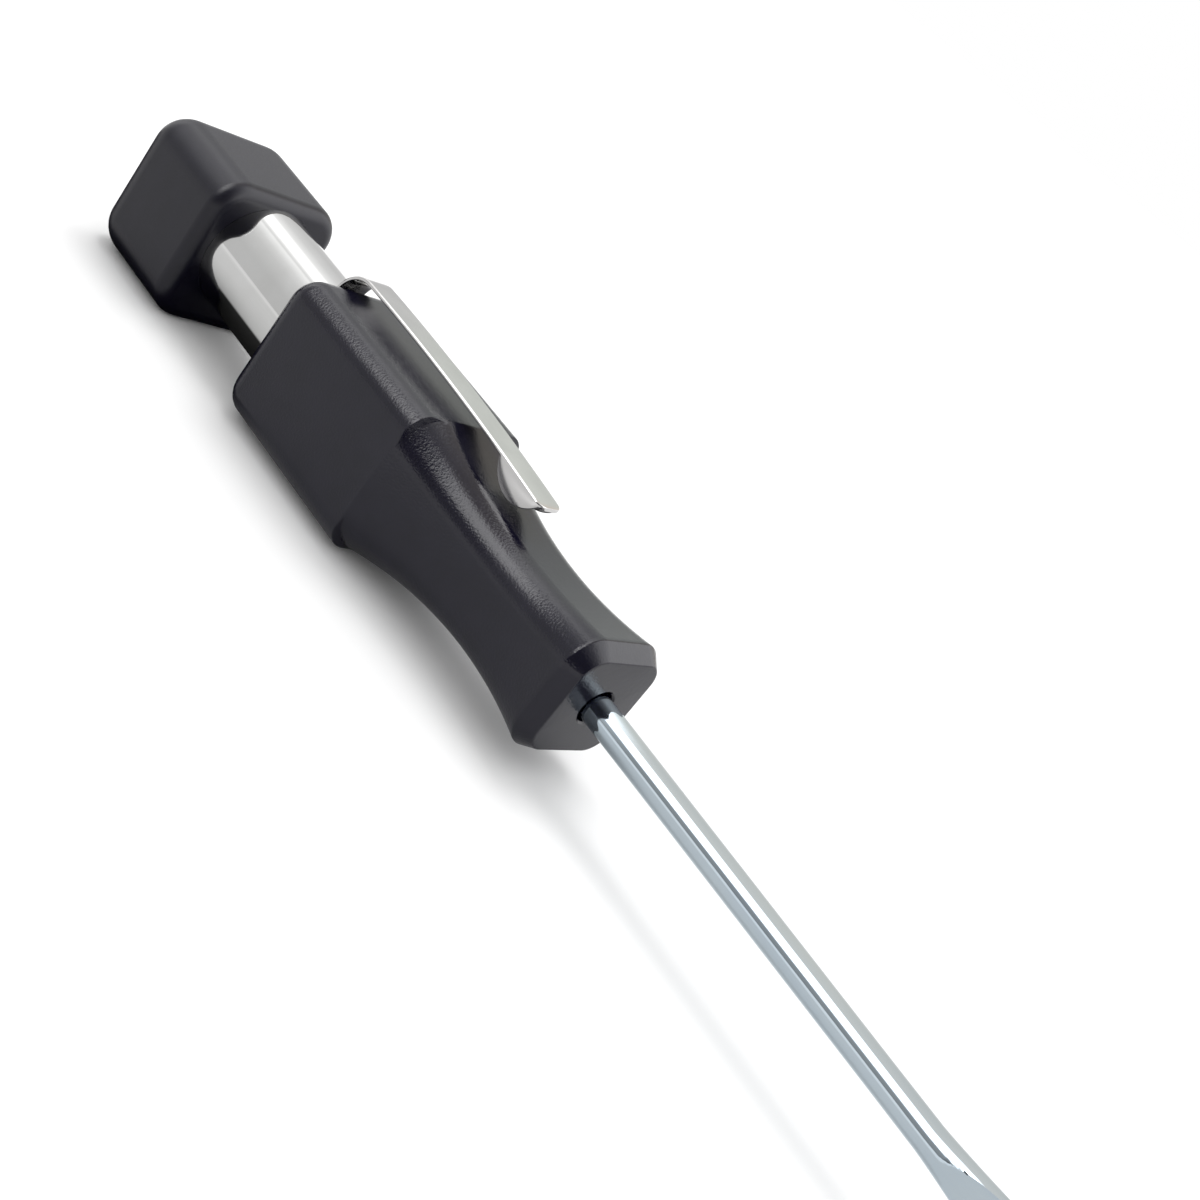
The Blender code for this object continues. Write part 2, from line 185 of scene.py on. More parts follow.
FRONT_LIGHT = (
    (-12.0, 0.60), (-4.0, 0.12), (50.0, 0.12), (85.0, 0.9), (110.0, 2.6), (144.0, 2.5),
    (178.0, 1.2),
)

# As the mirrored direction's x grows, the light turns from BACK_LIGHT into each of these in turn,
# between the limits. From the camera, the neck mirrors BACK_LIGHT, the handle and the clip mirror
# MIDDLE_LIGHT, and the shank mirrors SIDE_LIGHT.
LIGHT_CHANGES = (
    ((-0.66, -0.59), MIDDLE_LIGHT),
    ((-0.46, -0.40), SIDE_LIGHT),
    ((-0.17, 0.03), FRONT_LIGHT),
)

# The world's strength for diffuse rays. It is 1 for all others.
DIFFUSE_LEVEL = 0.97

# Lamp
LAMP_PLACE = (-145.8, 100.0, 561.1)
LAMP_SIZE = (300.0, 260.0)
LAMP_WATTS = 1.1

# Floor: its tones, the first for the camera, and the limits between which one turns into the next.
# The others are what metal and bounced light see, with painted shade in them: a nearly black painted
# shadow in a strip back from under the neck, and greyer painted shade along the tool's near side.
FLOOR_HALF = 3000.0
PAPER_TONE = 0.98
# The near tones are painted shade along the tool's near side. The open tone is the paper out of it.
NEAR_SHADE_TONES = (0.60, 0.62)
OPEN_TONE = 0.82
PAINTED_SHADOW_TONE = 0.03
PAINTED_SHADOW_EDGE = (8.8, 10.2)
PAINTED_SHADOW_FRONT = (-56.0, -44.0)
OPEN_BEHIND = (-2.0, 12.0)
OPEN_BESIDE = (33.0, 44.0)
BACKDROP_FADE = (110.0, 300.0)
BACKDROP_MIRRORED = 0.20

# Camera at the photograph's viewing angle. Its directions are unit vectors.
LENS = 53.7
SENSOR = 36.0
CAMERA_PLACE = (70.13, -128.87, 64.71)
CAMERA_RIGHT = (0.553081, 0.592259, 0.585944)
CAMERA_DOWN = (0.682242, 0.081689, -0.726548)
CAMERA_FORWARD = (-0.478170, 0.801596, -0.358883)


def world(x, y, z):
    """Tool coordinates in millimetres, z measured from the tool's axis, to world metres."""
    return Vector(((x - CENTRE_X) * MM, y * MM, (z + AXIS_HEIGHT) * MM))


def mix(a, b, share):
    return a + (b - a) * share


def between(x, start, end):
    """How far x has come from start to end, as a share that stays within 0 and 1."""
    return min(1.0, max(0.0, (x - start) / (end - start)))


def arc(count, start=0.0, end=90.0):
    """Angles in radians from start to end degrees, count steps."""
    return [math.radians(mix(start, end, k / count)) for k in range(count + 1)]


def rounded_square(x, half, corner, rise=0.0):
    """A ring across the tool at x. Its middle lies above the tool's axis by rise."""
    ring = []
    straight = half - corner
    for quarter, (side_y, side_z) in enumerate(((1, 1), (-1, 1), (-1, -1), (1, -1))):
        for angle in arc(CORNER_STEPS, 90 * quarter, 90 * (quarter + 1)):
            y = side_y * straight + corner * math.cos(angle)
            z = side_z * straight + corner * math.sin(angle)
            ring.append((x, y, z + rise))
    return ring


def circle(x, radius, rise=0.0):
    """A ring on a circle, with as many points as a rounded square has."""
    ring = []
    for quarter in range(4):
        for k in range(CORNER_STEPS + 1):
            angle = math.radians(90 * quarter + 90 * (k + 0.5) / (CORNER_STEPS + 1))
            ring.append((x, radius * math.cos(angle), radius * math.sin(angle) + rise))
    return ring


def skin(name, rings, material, body, nodes, loop=False, sharp=SHARP_ANGLE):
    """One closed surface through rings of equal count. A loop joins the last ring to the first."""
    count = len(rings[0])
    points = [world(*point) for ring in rings for point in ring]
    faces = []
    spans = len(rings) if loop else len(rings) - 1
    for row in range(spans):
        a, b = row * count, (row + 1) % len(rings) * count
        for k in range(count):
            after = (k + 1) % count
            faces.append((a + k, b + k, b + after, a + after))
    if not loop:
        faces.append(tuple(range(count)))
        faces.append(tuple(reversed(range(len(points) - count, len(points)))))
    mesh = bpy.data.meshes.new(name)
    mesh.from_pydata(points, [], faces)
    mesh.validate()
    mesh.shade_smooth()
    mesh.set_sharp_from_angle(angle=math.radians(sharp))
    mesh.materials.append(material)
    piece = bpy.data.objects.new(name, mesh)
    bpy.context.scene.collection.objects.link(piece)
    normals = piece.modifiers.new("even_normals", "WEIGHTED_NORMAL")
    normals.keep_sharp = True
    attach(piece, body)
    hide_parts(*nodes)
    return piece


def edge_round(x_face, inward, depth):
    """(x, inset) pairs of a quarter circle from a flat face to full size."""
    return [
        (x_face + inward * depth * (1 - math.cos(a)), depth * (1 - math.sin(a)))
        for a in arc(ROUND_STEPS)
    ]


def waist_half(x):
    """Half the waist's side: one arc on each side of its thinnest place."""
    if x < WAIST_THIN:
        reach, rise = WAIST_THIN - WAIST_BACK, HANDLE_HALF - WAIST_HALF
    else:
        reach, rise = FLARE_BACK - WAIST_THIN, FLARE_HALF - WAIST_HALF
    radius = (reach * reach + rise * rise) / (2 * rise)
    return WAIST_HALF + radius - math.sqrt(radius * radius - (x - WAIST_THIN) ** 2)


def waist_corner(x):
    """The radius of the waist's corners, smallest at its thinnest place."""
    back = x < WAIST_THIN
    far, corner = (WAIST_BACK, WAIST_BACK_CORNER) if back else (FLARE_BACK, FLARE_CORNER)
    return mix(WAIST_CORNER, corner, ((x - WAIST_THIN) / (far - WAIST_THIN)) ** 2)


def make_handle(material):
    rings = [circle(HEAD_BACK, CORE_BORE_RADIUS)]
    for x, inset in edge_round(HEAD_BACK, 1, HEAD_BACK_ROUND):
        corner = mix(HEAD_CORNER, HEAD_BACK_CORNER, inset / HEAD_BACK_ROUND)
        rings.append(rounded_square(x, HANDLE_HALF - inset, corner))
    rings.append(rounded_square(WAIST_BACK - EDGE_BREAK, HANDLE_HALF, HEAD_CORNER))
    rings.append(rounded_square(WAIST_BACK, HANDLE_HALF - SHOULDER_DROP, HEAD_CORNER))
    first = WAIST_BACK + WAIST_STEP
    for k in range(WAIST_STATIONS + 1):
        x = mix(first, FLARE_BACK - EDGE_BREAK, k / WAIST_STATIONS)
        rings.append(rounded_square(x, waist_half(x), waist_corner(x)))
    for share in (CHAMFER_MARGIN, 1.0 - CHAMFER_MARGIN):
        rings.append(rounded_square(
            mix(FLARE_BACK, 0.0, share),
            mix(FLARE_HALF, FRONT_HALF, share),
            mix(FLARE_CORNER, FRONT_CORNER, share),
        ))
    rings.append(rounded_square(0.0, FRONT_HALF - EDGE_BREAK, FRONT_CORNER))
    rings.append(circle(0.0, SHANK_BORE_RADIUS + FRONT_BORE_CHAMFER))
    rings.append(circle(-FRONT_BORE_CHAMFER, SHANK_BORE_RADIUS))
    rings.append(circle(CORE_BORE_FRONT + CORE_BORE_RADIUS - SHANK_BORE_RADIUS, SHANK_BORE_RADIUS))
    rings.append(circle(CORE_BORE_FRONT, CORE_BORE_RADIUS))
    return skin("handle_shell", rings, material, "tool", ["handle_body"], loop=True)


def make_core(material):
    front = HEAD_BACK - NECK_HEAD_GAP
    rings = [
        circle(REAR_SPIGOT_BACK, REAR_SPIGOT_RADIUS - SPIGOT_CHAMFER),
        circle(REAR_SPIGOT_BACK + SPIGOT_CHAMFER, REAR_SPIGOT_RADIUS),
        circle(NECK_BACK, REAR_SPIGOT_RADIUS),
    ]
    for x, inset in edge_round(NECK_BACK, 1, NECK_EDGE):
        rings.append(circle(x, NECK_RADIUS - inset, NECK_RISE))
    for x, inset in reversed(edge_round(front, -1, NECK_EDGE)):
        rings.append(circle(x, NECK_RADIUS - inset, NECK_RISE))
    rings += [
        circle(front, SPIGOT_RADIUS),
        circle(SPIGOT_FRONT - SPIGOT_CHAMFER, SPIGOT_RADIUS),
        circle(SPIGOT_FRONT, SPIGOT_RADIUS - SPIGOT_CHAMFER),
        circle(SPIGOT_FRONT, SHANK_BORE_RADIUS),
        circle(TANG_BORE_BACK, SHANK_BORE_RADIUS),
    ]
    return skin("neck_bar", rings, material, "tool", ["strike_core"])


def front_face(y, z):
    """Where the cap's front face and its rounded rim lie along the tool."""
    flat, corner = CAP_HALF - CAP_FRONT_ROUND, CAP_CORNER - CAP_FRONT_ROUND
    out_y, out_z = abs(y) - flat + corner, abs(z + CAP_DROP) - flat + corner
    past = math.hypot(max(out_y, 0), max(out_z, 0)) + min(max(out_y, out_z), 0) - corner
    past = min(max(past, 0.0), CAP_FRONT_ROUND)
    return CAP_FRONT - CAP_FRONT_ROUND + math.sqrt(CAP_FRONT_ROUND ** 2 - past ** 2)


def outside_recess(x, y, z, recess):
    """A point of the cap's rim, moved out to the recess's edge where the recess cuts into the rim."""
    reach = math.hypot(y, z - NECK_RISE)
    if reach >= recess:
        return x, y, z
    y, z = y * recess / reach, NECK_RISE + (z - NECK_RISE) * recess / reach
    return front_face(y, z), y, z


def make_cap(material):
    rings = []
    for x, inset in edge_round(CAP_BACK, 1, CAP_BACK_ROUND):
        rings.append(rounded_square(x, CAP_HALF - inset, CAP_CORNER - inset, -CAP_DROP))
    recess = NECK_RADIUS + CAP_RECESS_GAP
    for x, inset in reversed(edge_round(CAP_FRONT, -1, CAP_FRONT_ROUND)):
        ring = rounded_square(x, CAP_HALF - inset, CAP_CORNER - inset, -CAP_DROP)
        rings.append([outside_recess(*point, recess) for point in ring])
    floor = CAP_FRONT - CAP_RECESS_DEPTH
    rings += [
        [(front_face(y, z), y, z) for _, y, z in circle(CAP_FRONT, recess, NECK_RISE)],
        circle(floor, recess, NECK_RISE),
        circle(floor, CAP_BORE_RADIUS),
        circle(CAP_FRONT - CAP_BORE_DEPTH, CAP_BORE_RADIUS),
    ]
    return skin("cap_shell", rings, material, "tool", ["strike_cap"])


def shank_ring(x):
    """A circle that widens in Z, with a flat worked into each side once the blade starts."""
    radius = mix(SHANK_RADIUS, SHANK_NECK_RADIUS, between(x, 0.0, SHANK_ROUND_END))
    widen = between(x, FLARE_START, BLADE_TIP) ** BLADE_FLARE_POWER
    half_z = mix(radius, BLADE_TIP_WIDTH / 2, widen)
    thin = between(x, FLAT_START, FLAT_DEPTH_END)
    half_y = mix(radius, BLADE_THICKNESS / 2, thin * (2 - thin))
    half_y -= between(x, FLAT_DEPTH_END, BLADE_TIP) * (BLADE_THICKNESS - BLADE_TIP_THICKNESS) / 2
    shift = BEND_OFFSET * between(x, BEND_START, BLADE_TIP) ** 2
    crease = max(math.radians(45), math.acos(min(1.0, half_y / radius)))
    steps = CORNER_STEPS + 1
    angles = []
    for half_turn in (0, math.pi):
        for k in range(steps):
            angles.append(half_turn + mix(-crease, crease, k / steps))
        for k in range(steps):
            angles.append(half_turn + mix(crease, math.pi - crease, k / steps))
    return [
        (x, shift + min(half_y, max(-half_y, radius * math.cos(a))), half_z * math.sin(a))
        for a in angles
    ]


def make_shank(material):
    rings = []
    for x, inset in ((SHANK_TANG_BACK, SHANK_TANG_EDGE), (SHANK_TANG_BACK + SHANK_TANG_EDGE, 0.0)):
        scale = (SHANK_RADIUS - inset) / SHANK_RADIUS
        rings.append([(x, y * scale, z * scale) for _, y, z in shank_ring(0.0)])
    rings += [shank_ring(x) for x in (0.0, SHANK_ROUND_END)]
    for k in range(BLADE_STATIONS + 1):
        rings.append(shank_ring(mix(FLARE_START, BLADE_TIP, k / BLADE_STATIONS)))
    return skin(
        "shank_bar", rings, material, "tool", ["pry_shank"], sharp=BLADE_SHARP_ANGLE
    )


def arm_height(x):
    """The middle of the sheet along the arm, which falls from the crest to the free end."""
    share = (x - CLIP_CREST_X) / (CLIP_END_X - CLIP_CREST_X)
    return CLIP_CREST_Z - (CLIP_CREST_Z - CLIP_END_Z) * share ** 2


def ear_drop(x):
    """How far the folded ears hang below the middle of the strip."""
    span = CLIP_EAR_FRONT - CLIP_EAR_BACK
    radius = (span * span / 4 + CLIP_EAR_DROP ** 2) / (2 * CLIP_EAR_DROP)
    off = abs(x - (CLIP_EAR_BACK + CLIP_EAR_FRONT) / 2)
    if off >= span / 2:
        return 0.0
    return math.sqrt(radius ** 2 - off ** 2) - (radius - CLIP_EAR_DROP)


def clip_path():
    """(x, z, half width) along the middle of the sheet: foot, knee, bend over the head's edge, arm."""
    foot = (CLIP_FOOT_X, HANDLE_HALF - HEAD_BACK_ROUND)
    turn = math.radians(CLIP_BEND_TURN)
    knee = (
        CLIP_BEND_X - CLIP_BEND_RADIUS * math.sin(turn),
        CLIP_BEND_Z + CLIP_BEND_RADIUS * math.cos(turn),
    )
    pull = (knee[1] - foot[1]) / 3
    handles = (
        foot,
        (foot[0], foot[1] + pull),
        (knee[0] - pull * math.cos(turn), knee[1] - pull * math.sin(turn)),
        knee,
    )
    points = [(CLIP_FOOT_X, CLIP_FOOT_Z, CLIP_FOOT_HALF)]
    for k in range(ROUND_STEPS):
        t = k / ROUND_STEPS
        weights = ((1 - t) ** 3, 3 * t * (1 - t) ** 2, 3 * t * t * (1 - t), t ** 3)
        x, z = (sum(w * h[axis] for w, h in zip(weights, handles)) for axis in (0, 1))
        points.append((x, z, CLIP_FOOT_HALF))
    bend_steps = 2 * ROUND_STEPS
    for k in range(bend_steps + 1):
        share = k / bend_steps
        angle = math.radians(90) + turn * (1 - share)
        points.append((
            CLIP_BEND_X + CLIP_BEND_RADIUS * math.cos(angle),
            CLIP_BEND_Z + CLIP_BEND_RADIUS * math.sin(angle),
            mix(CLIP_FOOT_HALF, CLIP_HALF, share),
        ))
    start_x, start_z, _ = points[-1]
    for k in range(1, ROUND_STEPS + 1):
        share = k / ROUND_STEPS
        x = mix(start_x, CLIP_CREST_X, share)
        points.append((x, CLIP_CREST_Z - (CLIP_CREST_Z - start_z) * (1 - share) ** 2, CLIP_HALF))
    round_start = CLIP_END_X - CLIP_END_ROUND
    shares = [k / ARM_STATIONS for k in range(1, ARM_STATIONS + 1)]
    stations = {mix(CLIP_CREST_X, round_start, share) for share in shares}
    ear_middle = (CLIP_EAR_BACK + CLIP_EAR_FRONT) / 2
    ear_half = (CLIP_EAR_FRONT - CLIP_EAR_BACK) / 2
    stations |= {ear_middle - ear_half * math.cos(a) for a in arc(EAR_STATIONS, 0, 180)}
    stations |= {CLIP_END_X - CLIP_END_ROUND * (1 - math.sin(a)) for a in arc(ROUND_STEPS)}
    for x in sorted(stations):
        inset = max(0.0, x - round_start)
        round_off = CLIP_END_ROUND - math.sqrt(max(0.0, CLIP_END_ROUND ** 2 - inset ** 2))
        points.append((x, arm_height(x), CLIP_HALF - round_off))
    return points


def quarter_arc(y, z, radius, start, turn, count):
    """A quarter circle round (y, z) from the start angle. A turn of -90 degrees goes clockwise."""
    return [
        (y + radius * math.cos(a), z + radius * math.sin(a))
        for a in arc(count, start, start + turn)
    ]


def clip_section(half, drop):
    """Half of the sheet's section, as (across, height over the middle): fold, side, ear, underside."""
    thick = CLIP_THICKNESS / 2
    low = -max(thick, drop)
    inner = half - CLIP_EAR_THICKNESS
    lip = min(CLIP_EDGE, -thick - low)
    return [
        *quarter_arc(half - CLIP_FOLD, thick - CLIP_FOLD, CLIP_FOLD, 90, -90, FOLD_STEPS),
        *quarter_arc(half - CLIP_EDGE, low + CLIP_EDGE, CLIP_EDGE, 0, -90, SHEET_EDGE_STEPS),
        *quarter_arc(inner + lip, low + lip, lip, -90, -90, SHEET_EDGE_STEPS),
        *quarter_arc(inner - lip, -thick - lip, lip, 0, 90, SHEET_EDGE_STEPS),
    ]


def make_clip(material):
    path = clip_path()
    rings = []
    for k, (x, z, half) in enumerate(path):
        before, after = path[max(0, k - 1)], path[min(len(path) - 1, k + 1)]
        dx, dz = after[0] - before[0], after[1] - before[1]
        length = math.hypot(dx, dz)
        up_x, up_z = -dz / length, dx / length
        side = clip_section(half, ear_drop(x) if x > CLIP_CREST_X else 0.0)
        section = [(-y, rise) for y, rise in reversed(side)] + side
        rings.append([(x + up_x * rise, y, z + up_z * rise) for y, rise in section])
    return skin(
        "clip_strip", rings, material, "clip", ["pocket_clip"], sharp=CLIP_SHARP_ANGLE
    )


def new_node(tree, kind, **settings):
    made = tree.nodes.new(kind)
    for name, value in settings.items():
        setattr(made, name, value)
    return made


def math_node(tree, operation, *values):
    """A Math node on sockets or plain numbers."""
    made = new_node(tree, "ShaderNodeMath", operation=operation)
    for socket, value in zip(made.inputs, values):
        if isinstance(value, (int, float)):
            socket.default_value = value
        else:
            tree.links.new(value, socket)
    return made.outputs["Value"]


def map_range(tree, value, source, target=(0.0, 1.0), **settings):
    """Maps a value from the source range on to the target range, held at both ends."""
    made = new_node(tree, "ShaderNodeMapRange", **settings)
    for name, limit in zip(("From Min", "From Max", "To Min", "To Max"), (*source, *target)):
        made.inputs[name].default_value = limit
    tree.links.new(value, made.inputs["Value"])
    return made.outputs["Result"]


def fade(tree, value, limits):
    """0 below the lower limit and 1 above the higher one, with a smooth step between."""
    return map_range(tree, value, limits, interpolation_type="SMOOTHSTEP")


def blend(tree, share, first, second):
    """A colour mix of two sockets or plain colours. Its sockets go by number, as their names repeat."""
    share_in, first_in, second_in, colour_out = 0, 6, 7, 2
    made = new_node(tree, "ShaderNodeMix", data_type="RGBA")
    for slot, value in ((first_in, first), (second_in, second)):
        if isinstance(value, tuple):
            made.inputs[slot].default_value = (*value, 1.0)
        else:
            tree.links.new(value, made.inputs[slot])
    tree.links.new(share, made.inputs[share_in])
    return made.outputs[colour_out]


def ramp(tree, value, *stops):
    """A colour ramp through (place, colour) stops."""
    made = new_node(tree, "ShaderNodeValToRGB")
    colours = made.color_ramp
    while len(colours.elements) < len(stops):
        colours.elements.new(0.5)
    for element, (place, colour) in zip(colours.elements, stops):
        element.position = place
        element.color = (*colour, 1.0)
    tree.links.new(value, made.inputs["Fac"])
    return made.outputs["Color"]


def noise(tree, coordinates, scale, detail, stretch=None):
    """A noise texture in object space: scale in cells per metre, stretch a factor for each axis."""
    if stretch:
        mapping = new_node(tree, "ShaderNodeMapping")
        mapping.inputs["Scale"].default_value = stretch
        tree.links.new(coordinates, mapping.inputs["Vector"])
        coordinates = mapping.outputs["Vector"]
    texture = new_node(tree, "ShaderNodeTexNoise")
    texture.inputs["Scale"].default_value = scale
    texture.inputs["Detail"].default_value = detail
    tree.links.new(coordinates, texture.inputs["Vector"])
    return texture.outputs["Fac"]


def bump(tree, height, depth):
    made = new_node(tree, "ShaderNodeBump")
    made.inputs["Strength"].default_value = 1.0
    made.inputs["Distance"].default_value = depth
    tree.links.new(height, made.inputs["Height"])
    return made.outputs["Normal"]


def new_material(name):
    made = bpy.data.materials.new(name)
    made.use_nodes = True
    tree = made.node_tree
    shader = tree.nodes["Principled BSDF"]
    coordinates = new_node(tree, "ShaderNodeTexCoord").outputs["Object"]
    return made, tree, shader, coordinates


def anodised(name, tones, roughness, grain, depth):
    """Black anodised aluminium, blasted with beads: a mottled dye over fine overlapping pits."""
    made, tree, shader, coordinates = new_material(name)
    mottle = noise(tree, coordinates, scale=420.0, detail=4.0)
    tree.links.new(ramp(tree, mottle, *zip(NOISE_CORE, tones)), shader.inputs["Base Color"])
    pits = noise(tree, coordinates, scale=grain, detail=1.5)
    tree.links.new(map_range(tree, pits, NOISE_REACH, roughness), shader.inputs["Roughness"])
    tree.links.new(bump(tree, pits, depth), shader.inputs["Normal"])
    shader.inputs["IOR"].default_value = 1.47
    return made


def chrome(name, tones, roughness, wave_scale, wave_depth):
    """Polished plate: nearly a mirror, with faint smears in its gloss and slow waves in its surface."""
    made, tree, shader, coordinates = new_material(name)
    shader.inputs["Metallic"].default_value = 1.0
    smear = noise(tree, coordinates, scale=260.0, detail=5.0)
    tree.links.new(ramp(tree, smear, *zip(NOISE_REACH, tones)), shader.inputs["Base Color"])
    tree.links.new(map_range(tree, smear, NOISE_REACH, roughness), shader.inputs["Roughness"])
    waves = noise(tree, coordinates, scale=wave_scale, detail=1.0)
    tree.links.new(bump(tree, waves, wave_depth), shader.inputs["Normal"])
    return made


def handle_black():
    return anodised(
        "blasted_black_handle",
        tones=((0.0034, 0.0030, 0.0100), (0.0054, 0.0048, 0.0130)),
        roughness=(0.12, 0.24),
        grain=4600.0,
        depth=0.026 * MM,
    )


def cap_black():
    return anodised(
        "satin_black_cap",
        tones=((0.0026, 0.0022, 0.0080), (0.0042, 0.0037, 0.0105)),
        roughness=(0.28, 0.40),
        grain=9000.0,
        depth=0.006 * MM,
    )


def neck_chrome():
    return chrome(
        "polished_neck",
        tones=((0.69, 0.69, 0.68), (0.73, 0.73, 0.725)),
        roughness=(0.035, 0.063),
        wave_scale=180.0,
        wave_depth=0.006 * MM,
    )


def clip_chrome():
    return chrome(
        "polished_clip",
        tones=((0.625, 0.617, 0.612), (0.675, 0.667, 0.662)),
        roughness=(0.10, 0.18),
        wave_scale=700.0,
        wave_depth=0.004 * MM,
    )


def zinc_plate():
    """Zinc-plated bar: drawn lengthwise, with the plate's faint blue and green cast."""
    made, tree, shader, coordinates = new_material("zinc_plated_bar")
    shader.inputs["Metallic"].default_value = 1.0
    tones = ((0.54, 0.63, 0.71), (0.61, 0.69, 0.74))
    cast = noise(tree, coordinates, scale=300.0, detail=3.0, stretch=(0.12, 1.0, 1.0))
    tree.links.new(ramp(tree, cast, *zip(NOISE_CORE, tones)), shader.inputs["Base Color"])
    roughness = (0.045, 0.085)
    streaks = noise(tree, coordinates, scale=5200.0, detail=3.0, stretch=(0.02, 1.0, 1.0))
    tree.links.new(map_range(tree, streaks, NOISE_REACH, roughness), shader.inputs["Roughness"])
    tree.links.new(bump(tree, streaks, depth=0.0025 * MM), shader.inputs["Normal"])
    return made


def plain_steel():
    """Ground steel, with its streaks along Z as the pin lies."""
    made, tree, shader, coordinates = new_material("ground_pin")
    shader.inputs["Metallic"].default_value = 1.0
    tones = ((0.36, 0.36, 0.37), (0.50, 0.50, 0.50))
    grind = noise(tree, coordinates, scale=4000.0, detail=3.0, stretch=(1.0, 1.0, 0.05))
    tree.links.new(ramp(tree, grind, *zip(NOISE_CORE, tones)), shader.inputs["Base Color"])
    roughness = (0.28, 0.42)
    tree.links.new(map_range(tree, grind, NOISE_REACH, roughness), shader.inputs["Roughness"])
    return made


def dress_pin(pin, material):
    """The hidden cross pin keeps its CAD shape and only takes a material."""
    pin.data.materials.clear()
    pin.data.materials.append(material)


def grey(level):
    return (level, level, level)


def light_band(tree, turn, stops):
    """The light round the tool as a colour. turn is a direction's share of a full turn."""
    shares = (degrees / 360.0 + 0.5 for degrees, _ in stops)
    colours = (light if isinstance(light, tuple) else grey(light) for _, light in stops)
    return ramp(tree, turn, *zip(shares, colours))


def mirrored_light(tree):
    """What metal mirrors: soft boxes round the tool, which change with the direction's x."""
    direction = new_node(tree, "ShaderNodeTexCoord").outputs["Generated"]
    axes = new_node(tree, "ShaderNodeSeparateXYZ")
    tree.links.new(direction, axes.inputs["Vector"])
    near = math_node(tree, "MULTIPLY", axes.outputs["Y"], -1.0)
    angle = math_node(tree, "ARCTAN2", axes.outputs["Z"], near)
    turn = math_node(tree, "MULTIPLY_ADD", angle, 1 / (2 * math.pi), 0.5)
    light = light_band(tree, turn, BACK_LIGHT)
    for limits, stops in LIGHT_CHANGES:
        share = fade(tree, axes.outputs["X"], limits)
        light = blend(tree, share, light, light_band(tree, turn, stops))
    return light


def make_world():
    """A white studio for the camera and for bounced light, with soft boxes for metal to mirror."""
    studio = bpy.data.worlds.new("studio")
    bpy.context.scene.world = studio
    studio.use_nodes = True
    tree = studio.node_tree
    tree.nodes.clear()
    path = new_node(tree, "ShaderNodeLightPath")
    colour = blend(tree, path.outputs["Is Glossy Ray"], grey(1.0), mirrored_light(tree))
    level = map_range(tree, path.outputs["Is Diffuse Ray"], (0.0, 1.0), (1.0, DIFFUSE_LEVEL))
    background = new_node(tree, "ShaderNodeBackground")
    tree.links.new(colour, background.inputs["Color"])
    tree.links.new(level, background.inputs["Strength"])
    output = new_node(tree, "ShaderNodeOutputWorld")
    tree.links.new(background.outputs["Background"], output.inputs["Surface"])


def metres(lengths):
    return [length * MM for length in lengths]


def floor_tone_with_painted_shade(tree, coordinates):
    """The paper as metal and bounced light see it.

    Painted shadow makes it nearly black in a strip that runs back from under the neck, and painted
    shade makes it grey along the tool's near side. It is lighter behind the tool and well to the side
    of the handle and the shank.
    """
    place = new_node(tree, "ShaderNodeSeparateXYZ")
    tree.links.new(coordinates, place.inputs["Vector"])
    off_axis = math_node(tree, "ABSOLUTE", place.outputs["Y"])
    ahead = fade(tree, place.outputs["X"], [world(x, 0, 0).x for x in PAINTED_SHADOW_FRONT])
    aside = fade(tree, off_axis, metres(PAINTED_SHADOW_EDGE))
    far_aside = fade(tree, off_axis, metres(OPEN_BESIDE))
    behind = fade(tree, place.outputs["Y"], metres(OPEN_BEHIND))
    beside = math_node(tree, "MINIMUM", far_aside, ahead)
    paper = noise(tree, coordinates, scale=60.0, detail=2.0)
    # Painted shade: the paper is greyer along the tool's near side and lighter behind the tool and well
    # to the side.
    near = ramp(tree, paper, *zip(NOISE_REACH, map(grey, NEAR_SHADE_TONES)))
    uncovered = blend(tree, math_node(tree, "MAXIMUM", behind, beside), near, grey(OPEN_TONE))
    # Painted shadow: the paper is nearly black in the strip under the neck and back from it.
    return blend(tree, math_node(tree, "MAXIMUM", aside, ahead), grey(PAINTED_SHADOW_TONE), uncovered)


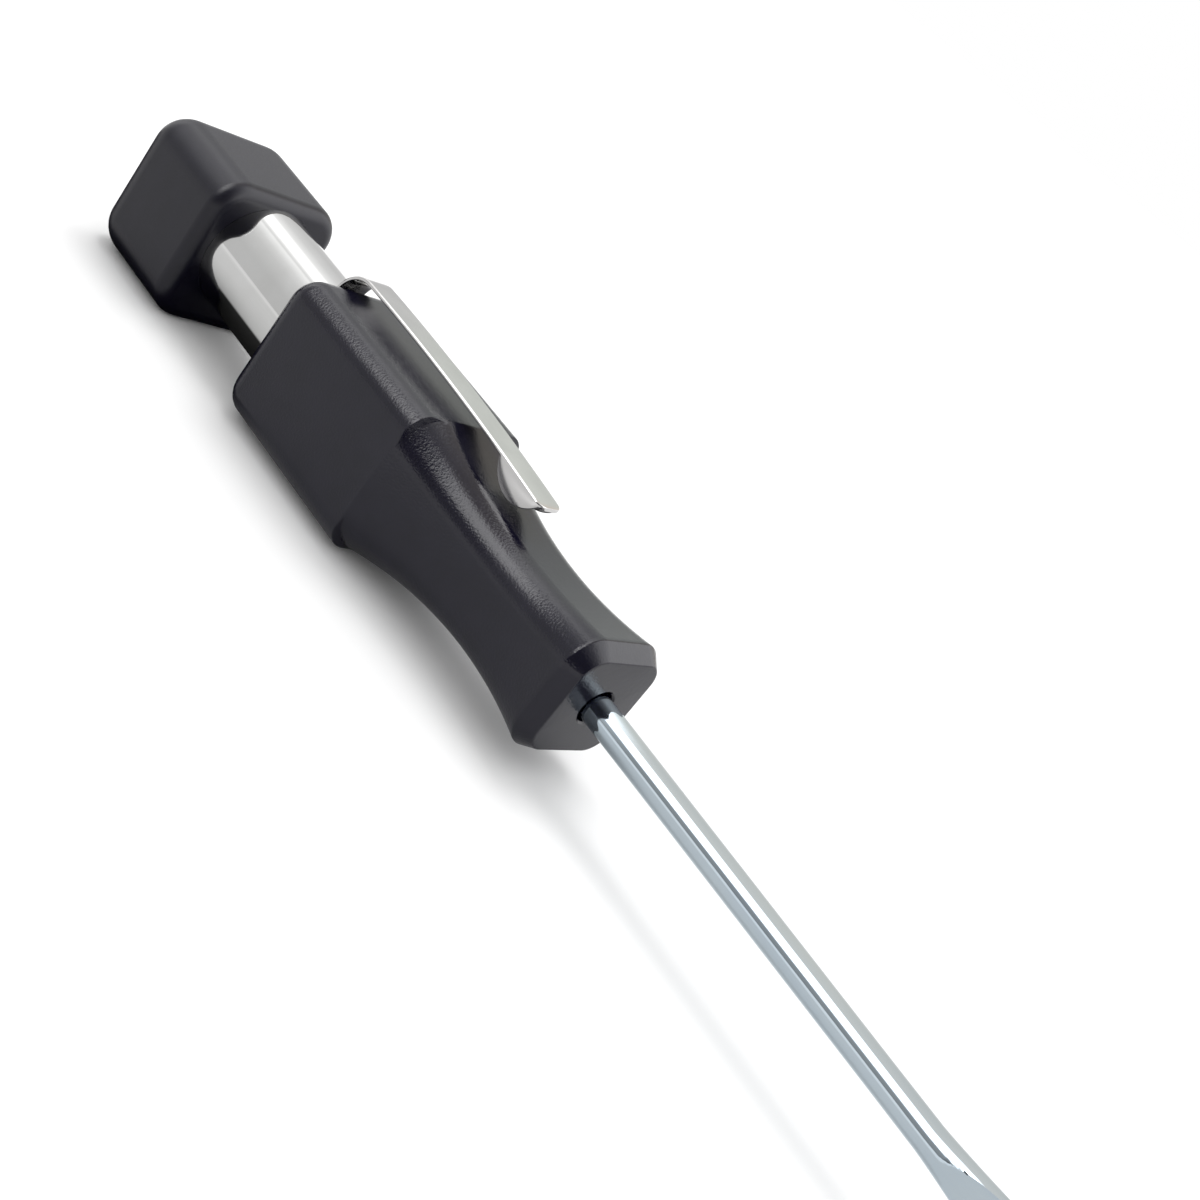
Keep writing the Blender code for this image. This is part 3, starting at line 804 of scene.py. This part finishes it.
def make_floor():
    """White paper under the cap, which turns into the plain white backdrop away from the tool."""
    mesh = bpy.data.meshes.new("floor")
    half = FLOOR_HALF * MM
    corners = [(-half, -half, 0), (half, -half, 0), (half, half, 0), (-half, half, 0)]
    mesh.from_pydata(corners, [], [(0, 1, 2, 3)])
    floor = bpy.data.objects.new("floor", mesh)
    bpy.context.scene.collection.objects.link(floor)
    made, tree, shader, coordinates = new_material("studio_floor")
    path = new_node(tree, "ShaderNodeLightPath")
    seen = path.outputs["Is Camera Ray"]
    # Metal and bounced light see the paper with its painted shade. The camera sees it plain white.
    tone = blend(tree, seen, floor_tone_with_painted_shade(tree, coordinates), grey(PAPER_TONE))
    tree.links.new(tone, shader.inputs["Base Color"])
    shader.inputs["Roughness"].default_value = 0.9
    shader.inputs["Specular IOR Level"].default_value = 0.0
    distance = new_node(tree, "ShaderNodeVectorMath", operation="LENGTH")
    tree.links.new(coordinates, distance.inputs[0])
    far = fade(tree, distance.outputs["Value"], metres(BACKDROP_FADE))
    far_seen = math_node(tree, "MULTIPLY", far, seen)
    far_mirrored = math_node(tree, "MULTIPLY", far, path.outputs["Is Glossy Ray"])
    own_light = math_node(tree, "MULTIPLY_ADD", far_mirrored, BACKDROP_MIRRORED, far_seen)
    shader.inputs["Emission Color"].default_value = (1.0, 1.0, 1.0, 1.0)
    tree.links.new(own_light, shader.inputs["Emission Strength"])
    mesh.materials.append(made)


def make_lamp():
    """One soft lamp over the tool, aimed at the floor under its middle."""
    data = bpy.data.lights.new("overhead", "AREA")
    data.shape = "RECTANGLE"
    data.size, data.size_y = metres(LAMP_SIZE)
    data.energy = LAMP_WATTS
    lamp = bpy.data.objects.new("overhead", data)
    bpy.context.scene.collection.objects.link(lamp)
    lamp.visible_glossy = False
    lamp.location = world(*LAMP_PLACE)
    lamp.rotation_mode = "QUATERNION"
    lamp.rotation_quaternion = (-lamp.location).to_track_quat("-Z", "Y")


def make_camera():
    data = bpy.data.cameras.new("camera")
    data.sensor_width = SENSOR
    data.lens = LENS
    data.clip_start = 0.005
    data.clip_end = 20.0
    camera = bpy.data.objects.new("camera", data)
    bpy.context.scene.collection.objects.link(camera)
    right, down, forward = (Vector(v) for v in (CAMERA_RIGHT, CAMERA_DOWN, CAMERA_FORWARD))
    turn = Matrix((right, -down, -forward)).transposed().to_4x4()
    turn.translation = world(*CAMERA_PLACE)
    camera.matrix_world = turn
    bpy.context.scene.camera = camera


def main():
    for obj in list(bpy.data.objects):
        bpy.data.objects.remove(obj, do_unlink=True)
    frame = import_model()
    make_handle(handle_black())
    make_core(neck_chrome())
    make_cap(cap_black())
    make_shank(zinc_plate())
    make_clip(clip_chrome())
    dress_pin(frame["nodes"]["shank_pin"], plain_steel())
    make_world()
    make_floor()
    make_lamp()
    make_camera()
    bpy.context.scene.view_settings.view_transform = "Standard"


main()
